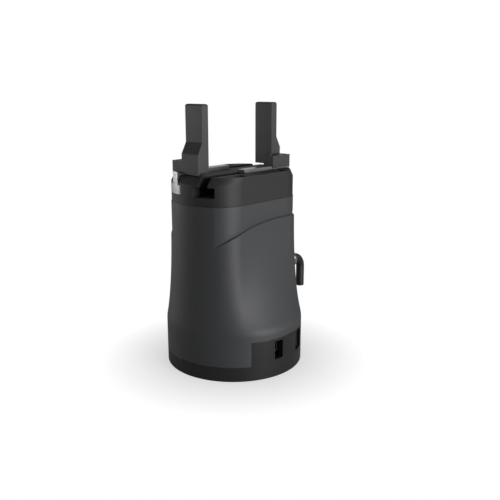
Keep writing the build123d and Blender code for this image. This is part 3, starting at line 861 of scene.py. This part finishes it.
@dataclass
class BodyPlan:
    """Plan of the body: two end arcs, two long faces and round corners, growing to a round foot."""

    end_radius: float = 34.4
    face_half_width: float = 22.4
    corner_radius: float = 16.0
    lower_corner_radius: float = 13.0
    face_step: float = 0.8
    foot_radius: float = 37.5
    collar_top: float = 25.5
    top: float = 90.7
    flare_power: float = 2.7
    collar_blend: float = 0.03
    arch_centre: float = 12.0
    arch_half_width: float = 44.3
    arch_crown: float = 80.6
    arch_height: float = 14.9
    arch_end_gap: float = 0.3

    def radius(self, angle: Array, end_radius: float, half_width: float, corner_radius: float) -> Array:
        """Distance of the plan from the axis.

        Each quarter is an end arc, then a corner arc about its own centre, then the long face,
        whose distance is half_width over the sine of the angle.

        Args:
            angle: directions in radians.
            end_radius: radius of the end arcs.
            half_width: distance of the long faces.
            corner_radius: radius of the corner arcs.

        Returns:
            One distance for each direction.
        """
        across, along = np.abs(np.sin(angle)), np.abs(np.cos(angle))
        centre_y = half_width - corner_radius
        centre_x = math.sqrt((end_radius - corner_radius) ** 2 - centre_y ** 2)
        offset = centre_x * across - centre_y * along
        bulge = np.sqrt(np.maximum(corner_radius ** 2 - offset ** 2, 0.0))
        corner = centre_x * along + centre_y * across + bulge
        flat = half_width / np.maximum(across, 1e-6)
        plan = np.where(along * half_width <= centre_x * across, flat, corner)
        return np.where(np.arctan2(across, along) <= math.atan2(centre_y, centre_x), end_radius, plan)

    def lower(self, angle: Array, height: Array) -> Array:
        """Radius of the flared skin: the plan grows to the foot with a power of the drop.

        The drop as a share ends at 1 on the collar's top edge; half the blend on each side of
        that edge it turns over smoothly.
        """
        half_width = self.face_half_width + self.face_step
        plan = self.radius(angle, self.end_radius, half_width, self.lower_corner_radius)
        drop = np.clip((self.top - height) / (self.top - self.collar_top), 0.0, None)
        over = np.clip(drop - 1.0 + self.collar_blend, 0.0, 2.0 * self.collar_blend)
        share = np.minimum(drop, 1.0 + self.collar_blend) - over ** 2 / (4.0 * self.collar_blend)
        return plan + (self.foot_radius - plan) * share ** self.flare_power

    def upper(self, angle: Array) -> Array:
        """Radius that the skin is cut back to above the arch."""
        end = self.end_radius + self.arch_end_gap
        return self.radius(angle, end, self.face_half_width, self.corner_radius)

    def arch(self, angle: Array) -> Array:
        """Height of the arch in each direction: half an ellipse in (x, z) over both long faces."""
        share = (self.upper(angle) * np.cos(angle) - self.arch_centre) / self.arch_half_width
        return self.arch_crown - self.arch_height * (1.0 - np.sqrt(np.maximum(1.0 - share ** 2, 0.0)))


@dataclass
class Shell:
    """Painted outer shell with its arched ledge, port opening and connector seat."""

    plan: BodyPlan = field(default_factory=BodyPlan)
    base_height: float = 7.7
    seam: float = 0.12
    wall: float = 3.0
    port_half_width: float = 20.6
    port_top: float = 21.0
    columns: int = 384
    connector_height: float = 46.5
    seat_x: float = 33.2
    seat_radius: float = 6.55
    hole_radius: float = 4.1

    def directions(self) -> Array:
        """Even directions, with the port's two sides among them."""
        side = math.asin(self.port_half_width / self.plan.foot_radius)
        turn = angles(self.columns)
        for edge in (1.5 * math.pi - side, 1.5 * math.pi + side):
            turn[np.argmin(np.abs(turn - edge))] = edge
        return turn

    def skin(self) -> tuple[Array, Array]:
        """The outer surface as radius and height over (direction, row).

        Below the arch the rows share out the height up to it, above it they share out the rest.
        Between them eight rows turn over the ledge, each a share of the way from the lower skin
        to the upper one, and a little past it: a crisp lip with a soft cove above it.

        Returns:
            The points, and the row number that lies on the port's top edge.
        """
        turn = self.directions()[:, None]
        arch = self.plan.arch(turn)
        low = self.base_height + self.seam
        fixed = np.array([low, 12.0, 16.5, self.port_top, 22.2, 23.4, 24.5, self.plan.collar_top])[None, :]
        rise = np.linspace(0.0, 1.0, 46)[None, 1:]
        climb = self.plan.collar_top + (arch - 0.6 - self.plan.collar_top) * rise
        lips = np.array([-0.3, -0.12, 0.05, 0.3, 0.6, 0.95, 1.5, 2.2])[None, :]
        shares = np.array([0.0, 0.06, 0.28, 0.7, 1.1, 1.3, 1.2, 1.0])[None, :]
        ledge = arch + lips
        share_out = np.linspace(0.0, 1.0, 9)[None, 1:]
        last_lip = lips[0, -1]
        above = arch + last_lip + (self.plan.top - self.seam - arch - last_lip) * share_out
        start = np.broadcast_to(fixed, (len(turn), fixed.shape[1]))
        height = np.concatenate([start, climb, ledge, above], axis=1)
        uncut = np.zeros((1, fixed.shape[1] + climb.shape[1]))
        cut = np.concatenate([uncut, shares, np.ones((1, above.shape[1]))], axis=1)
        outer = self.plan.lower(turn, height)
        inner = np.minimum(outer, self.plan.upper(turn))
        return polar(outer + (inner - outer) * cut, turn, height), np.int64(3)

    def build(self, shop: Workshop) -> bpy.types.Object:
        """Skin, port opening, wall thickness, connector seat and broken edges."""
        points, port_row = self.skin()
        turn = self.directions()
        middle = turn + math.pi / self.columns
        across = np.abs(self.plan.foot_radius * np.cos(middle))
        inside = (across < self.port_half_width) & (np.sin(middle) < 0)
        keep = np.ones((points.shape[0], points.shape[1] - 1), bool)
        keep[inside, :port_row] = False
        shell = surface("shell", points, True, False, keep=keep)
        wall = shell.modifiers.new("wall", "SOLIDIFY")
        wall.thickness = self.wall * METRES
        wall.offset = -1.0
        wall.use_even_offset = True
        settle(shell)
        tidy(shell)
        combine(shell, self.connector_cuts(), "DIFFERENCE")
        round_edges(shell, 0.3, 3, 50.0)
        return shop.fit(shell, "housing_paint", "frame", "housing")

    def connector_cuts(self) -> list[bpy.types.Object]:
        """Round seat and hole for the connector, as bars along X."""
        to_x = Matrix.Translation((0, 0, self.connector_height)) @ Matrix.Rotation(math.pi / 2, 4, "Y")
        seat = [(0, self.seat_x), (self.seat_radius, self.seat_x), (self.seat_radius, 45.0), (0, 45.0)]
        hole = [(0, 20.0), (self.hole_radius, 20.0), (self.hole_radius, 45.0), (0, 45.0)]
        return [moved(lathe("cut", profile, 48), to_x) for profile in (seat, hole)]


# Fingers


@dataclass
class Finger:
    """Gripping finger: a slanted column on a foot that straddles its slide."""

    opening: float = 48.6
    tip_z: float = 140.1
    tip_thickness: float = 4.15
    foot_thickness: float = 7.3
    half_width: float = 6.0
    tip_fillet: float = 1.0
    slant_top: float = 121.5
    slant_bottom: float = 115.7
    slide_top: float = 106.6
    base_bottom: float = 105.5
    base_top: float = 112.1
    base_length: float = 14.25
    base_outer: float = 13.0
    pass_gap: float = 0.2
    lip_length: float = 2.1
    slot_centre: float = 9.95
    groove_half: float = 2.6
    screw_edge: float = 3.1
    screw_pitch: float = 8.0
    screw_clearance: float = 1.45
    screw_bore: float = 2.5
    bore_depth: float = 2.9
    hole_start: float = 100.0
    cut_top: float = 115.0
    edge: float = 0.28

    def screw_places(self) -> list[tuple[float, float]]:
        """Centres of the two foot screws."""
        first = self.opening / 2 + self.foot_thickness - self.base_length + self.screw_edge
        return [(first, -self.slot_centre), (first + self.screw_pitch, -self.slot_centre)]

    def column(self) -> bpy.types.Object:
        """Upright column, its outline in (x, z) drawn out along Y."""
        inner, outer = self.opening / 2, self.opening / 2 + self.foot_thickness
        tip = inner + self.tip_thickness
        outline = [(inner, self.slide_top), (outer - self.lip_length, self.slide_top),
                   (outer, self.base_bottom), (outer, self.slant_bottom), (tip, self.slant_top),
                   (tip, self.tip_z), (inner, self.tip_z)]
        column = prism("near_finger_piece", outline, -self.half_width, self.half_width, "Y")
        round_top(column, self.tip_fillet)
        return column

    def solid(self) -> bpy.types.Object:
        """Column, foot and web in one, less the groove for the slide and the screw bores."""
        inner, outer = self.opening / 2, self.opening / 2 + self.foot_thickness
        side = self.half_width + self.pass_gap
        foot = box("foot", (outer - self.base_length, -self.base_outer, self.base_bottom),
                   (outer, -side, self.base_top))
        web = box("web", (inner, -side - 0.5, self.slide_top), (outer, -0.01, self.base_top - 0.001))
        finger = combine(self.column(), [web, foot], "UNION")
        groove = box("groove", (0, -self.slot_centre - self.groove_half, 100.0),
                     (40.0, -self.slot_centre + self.groove_half, self.slide_top))
        cuts = [groove]
        floor = self.base_top - self.bore_depth
        hole = [(0, self.hole_start), (self.screw_clearance, self.hole_start),
                (self.screw_clearance, self.cut_top), (0, self.cut_top)]
        bore = [(0, floor), (self.screw_bore, floor), (self.screw_bore, self.cut_top), (0, self.cut_top)]
        for x, y in self.screw_places():
            place = Matrix.Translation((x, y, 0))
            cuts.append(moved(lathe("hole", hole, 32), place))
            cuts.append(moved(lathe("bore", bore, 40), place))
        return combine(finger, cuts, "DIFFERENCE")

    def build(self, shop: Workshop) -> None:
        """Both fingers, the far one as half a turn of the near one."""
        near = self.solid()
        round_edges(near, self.edge, 3, 22.0)
        far = half_turn(near, "far_finger_piece")
        shop.fit(near, "finger_anodised", "near_carriage", "near_finger")
        shop.fit(far, "finger_anodised", "far_carriage", "far_finger")


# Fasteners


@dataclass
class SocketScrew:
    """Socket head screw with a chamfered head, a hexagon recess and a threaded shank, head up."""

    radius: float
    head_radius: float
    head_height: float
    key_radius: float
    length: float
    pitch: float

    def build(self, name: str) -> bpy.types.Object:
        """The screw with its head's seat at height 0.

        The head is a lathed profile whose innermost ring is a hexagon. The thread's radius is the
        shank's less a triangle wave of (height / pitch - turn), so its crest climbs one pitch a turn.

        Args:
            name: the piece's name.

        Returns:
            The screw.
        """
        count = 48
        turn = angles(count)[:, None]
        sector = np.mod(turn, math.pi / 3) - math.pi / 6
        key = self.key_radius * math.cos(math.pi / 6) / np.cos(sector)
        chamfer = 0.12 * self.head_radius
        steps = max(int(self.length / self.pitch) * 4, 8)
        shank_z = np.linspace(-self.length + self.pitch, -0.4, steps)[None, :]
        wave = np.abs(np.mod(shank_z / self.pitch - turn / (2 * math.pi), 1.0) - 0.5) * 2.0
        shank = self.radius - 0.3 * self.pitch * wave
        ones = np.ones((count, 1))
        floor = self.head_height * 0.5
        rings = [
            (0.0 * ones, -self.length), ((self.radius - 0.5 * self.pitch) * ones, -self.length),
            (shank, shank_z), (self.radius * ones, -0.2), (self.radius * ones, 0.0),
            ((self.head_radius - 0.05) * ones, 0.0), (self.head_radius * ones, 0.06),
            (self.head_radius * ones, self.head_height - chamfer),
            ((self.head_radius - chamfer) * ones, self.head_height),
            (key + 0.15, self.head_height), (key, self.head_height - 0.15), (key, floor),
            (0.0 * ones, floor - 0.25),
        ]
        radius = np.concatenate([r for r, _ in rings], axis=1)
        height = np.concatenate([np.broadcast_to(z, r.shape) for r, z in rings], axis=1)
        screw = surface(name, polar(radius, turn, height), True, False)
        tidy(screw)
        smooth(screw, 35.0)
        return screw


@dataclass
class Fasteners:
    """All socket screws that can be seen from outside."""

    head_z: float = 105.0 - 3.6
    head_x: float = 15.5
    head_y: float = 18.8
    base_circle: float = 31.0
    base_angle: float = 38.0
    base_z: float = 3.6

    def build(self, shop: Workshop, finger: Finger) -> None:
        """Head, foot and finger screws.

        Args:
            shop: dresses the pieces.
            finger: gives the finger screws' places.
        """
        m3 = SocketScrew(1.5, 2.75, 3.0, 1.44, 18.0, 0.5)
        corners = [(sx, sy) for sx in (1, -1) for sy in (1, -1)]
        over = [Matrix.Translation((sx * self.head_x, sy * self.head_y, self.head_z)) for sx, sy in corners]
        heads = [moved(m3.build("screw"), place) for place in over]
        shop.fit(join("head_screw_set", heads), "screw_steel", "frame", "head_screws")
        angle = math.radians(self.base_angle)
        x, y = self.base_circle * math.cos(angle), self.base_circle * math.sin(angle)
        short = SocketScrew(1.5, 2.75, 3.0, 1.44, 12.0, 0.5)
        upturned = Matrix.Rotation(math.pi, 4, "X")
        under = [Matrix.Translation((sx * x, sy * y, self.base_z)) @ upturned for sx, sy in corners]
        feet = [moved(short.build("screw"), place) for place in under]
        shop.fit(join("foot_screw_set", feet), "screw_steel", "frame", "base_screws")
        m25 = SocketScrew(1.25, 2.25, 2.5, 1.15, 11.0, 0.45)
        seat = finger.base_top - finger.bore_depth
        seats = [Matrix.Translation((x, y, seat)) for x, y in finger.screw_places()]
        near = join("near_finger_screw_set", [moved(m25.build("screw"), place) for place in seats])
        far = half_turn(near, "far_finger_screw_set")
        shop.fit(near, "screw_steel", "near_carriage", "near_finger_screws")
        shop.fit(far, "screw_steel", "far_carriage", "far_finger_screws")


# Connector and plug


@dataclass
class Plug:
    """Right-angle plug with its knurled nut on the round connector at the +X end."""

    height: float = 46.5
    nut_start: float = 41.5
    nut_end: float = 51.0
    nut_radius: float = 4.85
    bore_radius: float = 4.05
    lip_radius: float = 3.7
    knurls: int = 36
    knurl_depth: float = 0.22
    body_radius: float = 2.48
    nose_start: float = 44.6
    nose_radius: float = 3.6
    bend_radius: float = 6.6
    arm_x: float = 60.0
    bottom: float = 27.5
    cable_radius: float = 1.6
    cable_depth: float = 8.0

    def nut(self) -> bpy.types.Object:
        """Knurled nut: radius falls by a triangle wave of the angle between two plain collars."""
        count = self.knurls * 6
        turn = angles(count)[:, None]
        wave = np.abs(np.mod(turn * self.knurls / (2 * math.pi), 1.0) - 0.5) * 2.0
        length = self.nut_end - self.nut_start
        bottom = 3.1
        profile = [(self.lip_radius, length, 0), (self.lip_radius, bottom, 0), (self.bore_radius, bottom, 0),
                   (self.bore_radius, 0.0, 0), (self.nut_radius - 0.45, 0.0, 0),
                   (self.nut_radius - 0.1, 0.3, 0), (self.nut_radius - 0.1, 1.2, 0),
                   (self.nut_radius - 0.4, 1.45, 0), (self.nut_radius - 0.4, 1.8, 0),
                   (self.nut_radius, 2.1, 1), (self.nut_radius, length - 4.1, 1),
                   (self.nut_radius - 0.3, length - 3.8, 0), (self.nut_radius - 0.3, length - 3.5, 0),
                   (self.nut_radius, length - 3.2, 0), (self.nut_radius, length - 0.3, 0),
                   (self.nut_radius - 0.1, length - 0.08, 0), (self.nut_radius - 0.3, length, 0)]
        rows = np.asarray(profile)
        radius = rows[None, :, 0] - self.knurl_depth * wave * rows[None, :, 2]
        nut = surface("knurled_nut", polar(radius, turn, rows[None, :, 1]), True, True)
        tidy(nut)
        smooth(nut, 28.0)
        return moved(nut, self.along_x(self.nut_start))

    def along_x(self, start: float) -> Matrix:
        """Turns a piece that stands on Z so that it lies along X from a start."""
        return Matrix.Translation((start, 0, self.height)) @ Matrix.Rotation(math.pi / 2, 4, "Y")

    def centre_line(self) -> tuple[Array, Array]:
        """Line of the plug: along X, a quarter bend down and straight down.

        Returns:
            Points (n, 3), and for each the angle that the line has turned down.
        """
        bend_start = self.arm_x - self.bend_radius
        first = np.linspace(self.nut_end - 0.3, bend_start, 6)[:-1]
        turn = np.linspace(0.0, math.pi / 2, 15)
        last = np.linspace(self.height - self.bend_radius, self.bottom + 0.35, 12)[1:]
        bend_x = bend_start + self.bend_radius * np.sin(turn)
        x = np.concatenate([first, bend_x, np.full(len(last), self.arm_x)])
        z = np.concatenate([np.full(len(first), self.height),
                            self.height - self.bend_radius * (1 - np.cos(turn)), last])
        lean = np.concatenate([np.zeros(len(first)), turn, np.full(len(last), math.pi / 2)])
        return np.stack([x, np.zeros_like(x), z], axis=-1), lean

    def body(self) -> bpy.types.Object:
        """Moulded elbow: a circle carried along the centre line, with end roundings and the cable bore.

        Each ring lies across the line: centre + r (cos a * side + sin a * up), side being -Y and
        up turning with the bend.
        """
        line, lean = self.centre_line()
        end = line[-1]
        down = np.array([0.0, 0.0, -1.0])
        tail = np.stack([end + down * 0.22, end + down * 0.35, end + down * 0.35,
                         end + down * 0.2, end - down * (self.cable_depth - 0.35)])
        tail_radius = [self.body_radius - 0.1, self.body_radius - 0.4, self.cable_radius + 0.15,
                       self.cable_radius, self.cable_radius]
        centres = np.concatenate([line[:1], line, tail, tail[-1:]])
        radii = np.concatenate([[0.0], np.full(len(line), self.body_radius), tail_radius, [0.0]])
        leans = np.concatenate([lean[:1], lean, np.full(len(tail) + 1, math.pi / 2)])
        turn = angles(48)[:, None, None]
        side = np.array([0.0, -1.0, 0.0])
        up = np.stack([np.sin(leans), np.zeros_like(leans), np.cos(leans)], axis=-1)
        points = centres[None] + radii[None, :, None] * (np.cos(turn) * side + np.sin(turn) * up[None])
        elbow = surface("plug_elbow", points, True, False)
        tidy(elbow)
        smooth(elbow, 35.0)
        return elbow

    def nose(self) -> bpy.types.Object:
        """Front of the plug inside the nut, with a shoulder that the nut turns on."""
        length = self.nut_end - self.nose_start
        profile = [(0, 0), (self.nose_radius - 0.3, 0), (self.nose_radius, 0.3),
                   (self.nose_radius, length - 0.25),
                   (self.nose_radius - 0.25, length), (self.body_radius, length), (0, length)]
        made = lathe("plug_nose", profile, 48)
        smooth(made, 30.0)
        return moved(made, self.along_x(self.nose_start))

    def build(self, shop: Workshop) -> None:
        """Nut, elbow and nose."""
        shop.fit(self.nut(), "connector_nickel", "frame", "coupling_nut")
        shop.fit(join("angled_plug", [self.body(), self.nose()]), "plug_rubber", "frame", "plug_body")


# Machined parts


@dataclass
class MachinedCopies:
    """Blocks whose CAD mesh is finished with broken edges."""

    nodes: dict[str, tuple[str, str, float]] = field(default_factory=lambda: {
        "head_block": ("frame", "head_anodised", 0.22),
        "mounting_base": ("frame", "black_anodised", 0.2),
        "near_slide": ("near_carriage", "slide_steel", 0.12),
        "far_slide": ("far_carriage", "slide_steel", 0.12),
    })

    def build(self, shop: Workshop) -> None:
        """Copy, break the edges and fit each."""
        for node, (body, slot, edge) in self.nodes.items():
            piece = copy_of(node, node + "_finished")
            round_edges(piece, edge)
            shop.fit(piece, slot, body, node)


def dress_frame(frame: dict, shop: Workshop) -> None:
    """Give every CAD node its finish by the record's material slots.

    Args:
        shop: makes the finishes.
    """
    for name, node in frame["nodes"].items():
        slot = node.material_slots[0].material.name.split(".")[0]
        shop.dress(node, slot)
        log.info("%s: %s", name, slot)


# Stage


@dataclass(frozen=True)
class Lamp:
    """Rectangular soft lamp, placed as seen from the object.

    turn is how far it stands to the camera's right, in degrees round the object, and rise is its
    elevation. Distance, width and height are in metres and power in watts.
    """

    name: str
    turn: float
    rise: float
    distance: float
    width: float
    height: float
    power: float


LAMPS: tuple[Lamp, ...] = (
    Lamp("key_strip", 49.0, 5.0, 1.3, 0.6, 0.36, 12.8),
    Lamp("right_fill", 94.0, 5.0, 2.0, 1.4, 1.2, 4.6),
    Lamp("left_back", -114.0, 2.0, 1.5, 0.6, 0.5, 7.5),
    Lamp("low_back", -168.0, 12.0, 1.8, 1.4, 0.5, 1.7),
    Lamp("left_front", -56.0, 0.0, 2.2, 1.2, 0.7, 2.3),
    Lamp("top_soft", 10.0, 76.0, 1.3, 0.9, 0.9, 1.6),
)


@dataclass
class Stage:
    """Floor, lamps, background and camera."""

    camera_place: tuple[float, float, float] = (-0.2558, -0.2406, 0.14907)
    heading: float = 41.81
    pitch: float = 14.07
    lens: float = 47.4
    ambient: float = 0.10
    centre_height: float = 0.07
    shadow_reach: float = 90.0
    shadow_start: float = 38.0
    shadow_lift: float = 0.6

    def floor(self) -> None:
        """Pale floor with the object's shadow near it; further out it is white to the camera.

        The share of plain white grows with the distance from the axis, from none under the
        object to all of it at the shadow's reach.
        """
        corners = np.array([[[x, y, 0.0] for y in (-4000.0, 4000.0)] for x in (-4000.0, 4000.0)])
        floor = surface("floor", corners)
        tree = Tree("floor_paint")
        speck = tree.noise((0.02, 0.02, 0.02), 2.0)
        rays = tree.node("ShaderNodeLightPath", {}, {})
        seen = Signal(tree, rays.outputs["Is Camera Ray"])
        shown = tree.blend(speck, grey(250), grey(254))
        tree.finish(Base_Color=tree.blend(seen, grey(185), shown), Roughness=0.95)
        x, y, _ = tree.axes()
        beyond = (x * x + y * y) ** 0.5 - self.shadow_start
        away = (beyond / self.shadow_reach + self.shadow_lift).clipped()
        white = tree.node("ShaderNodeEmission", {}, {"Color": (1.0, 1.0, 1.0), "Strength": 1.0})
        mix = tree.node("ShaderNodeMixShader", {}, {0: away * seen})
        tree.links.new(tree.shader.outputs[0], mix.inputs[1])
        tree.links.new(white.outputs[0], mix.inputs[2])
        tree.links.new(mix.outputs[0], tree.nodes["Material Output"].inputs["Surface"])
        floor.data.materials.append(tree.material)

    def world(self) -> None:
        """Soft even light, white to the camera."""
        world = bpy.data.worlds.new("studio")
        bpy.context.scene.world = world
        world.use_nodes = True
        nodes, links = world.node_tree.nodes, world.node_tree.links
        plain = nodes["Background"]
        plain.inputs["Color"].default_value = (1, 1, 1, 1)
        plain.inputs["Strength"].default_value = self.ambient
        white = nodes.new("ShaderNodeBackground")
        white.inputs["Color"].default_value = (1, 1, 1, 1)
        white.inputs["Strength"].default_value = 1.0
        rays = nodes.new("ShaderNodeLightPath")
        mix = nodes.new("ShaderNodeMixShader")
        links.new(rays.outputs["Is Camera Ray"], mix.inputs[0])
        links.new(plain.outputs[0], mix.inputs[1])
        links.new(white.outputs[0], mix.inputs[2])
        links.new(mix.outputs[0], nodes["World Output"].inputs["Surface"])

    def stand(self, lamp: Lamp) -> None:
        """Put one lamp in its place, facing the object.

        Args:
            lamp: the lamp.
        """
        bearing = math.radians(self.heading + 180.0 + lamp.turn)
        rise = math.radians(lamp.rise)
        level = math.cos(rise)
        outward = Vector((math.cos(bearing) * level, math.sin(bearing) * level, math.sin(rise)))
        data = bpy.data.lights.new(lamp.name, "AREA")
        data.shape = "RECTANGLE"
        data.size, data.size_y = lamp.width, lamp.height
        data.energy = lamp.power
        made = bpy.data.objects.new(lamp.name, data)
        made.location = Vector((0.0, 0.0, self.centre_height)) + outward * lamp.distance
        made.rotation_euler = (-outward).to_track_quat("-Z", "Y").to_euler()
        made.visible_camera = False
        bpy.context.scene.collection.objects.link(made)

    def camera(self) -> None:
        """Camera at the photograph's angle."""
        data = bpy.data.cameras.new("camera")
        data.lens = self.lens
        data.sensor_width = 36.0
        data.clip_start = 0.01
        data.clip_end = 50.0
        made = bpy.data.objects.new("camera", data)
        made.location = self.camera_place
        heading, pitch = math.radians(self.heading), math.radians(self.pitch)
        level = math.cos(pitch)
        aim = Vector((math.cos(heading) * level, math.sin(heading) * level, -math.sin(pitch)))
        made.rotation_euler = aim.to_track_quat("-Z", "Y").to_euler()
        bpy.context.scene.collection.objects.link(made)
        bpy.context.scene.camera = made

    def build(self) -> None:
        """Everything round the object."""
        bpy.context.scene.view_settings.view_transform = "Standard"
        self.floor()
        self.world()
        for lamp in LAMPS:
            self.stand(lamp)
        self.camera()


def main() -> None:
    """Load the CAD frame, build and dress every piece, and set the stage."""
    logging.basicConfig(level=logging.INFO, format="%(name)s %(message)s")
    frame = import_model()
    shop = Workshop()
    dress_frame(frame, shop)
    finger = Finger()
    MachinedCopies().build(shop)
    Shell().build(shop)
    finger.build(shop)
    Fasteners().build(shop, finger)
    Plug().build(shop)
    Stage().build()


if __name__ == "__main__":
    main()
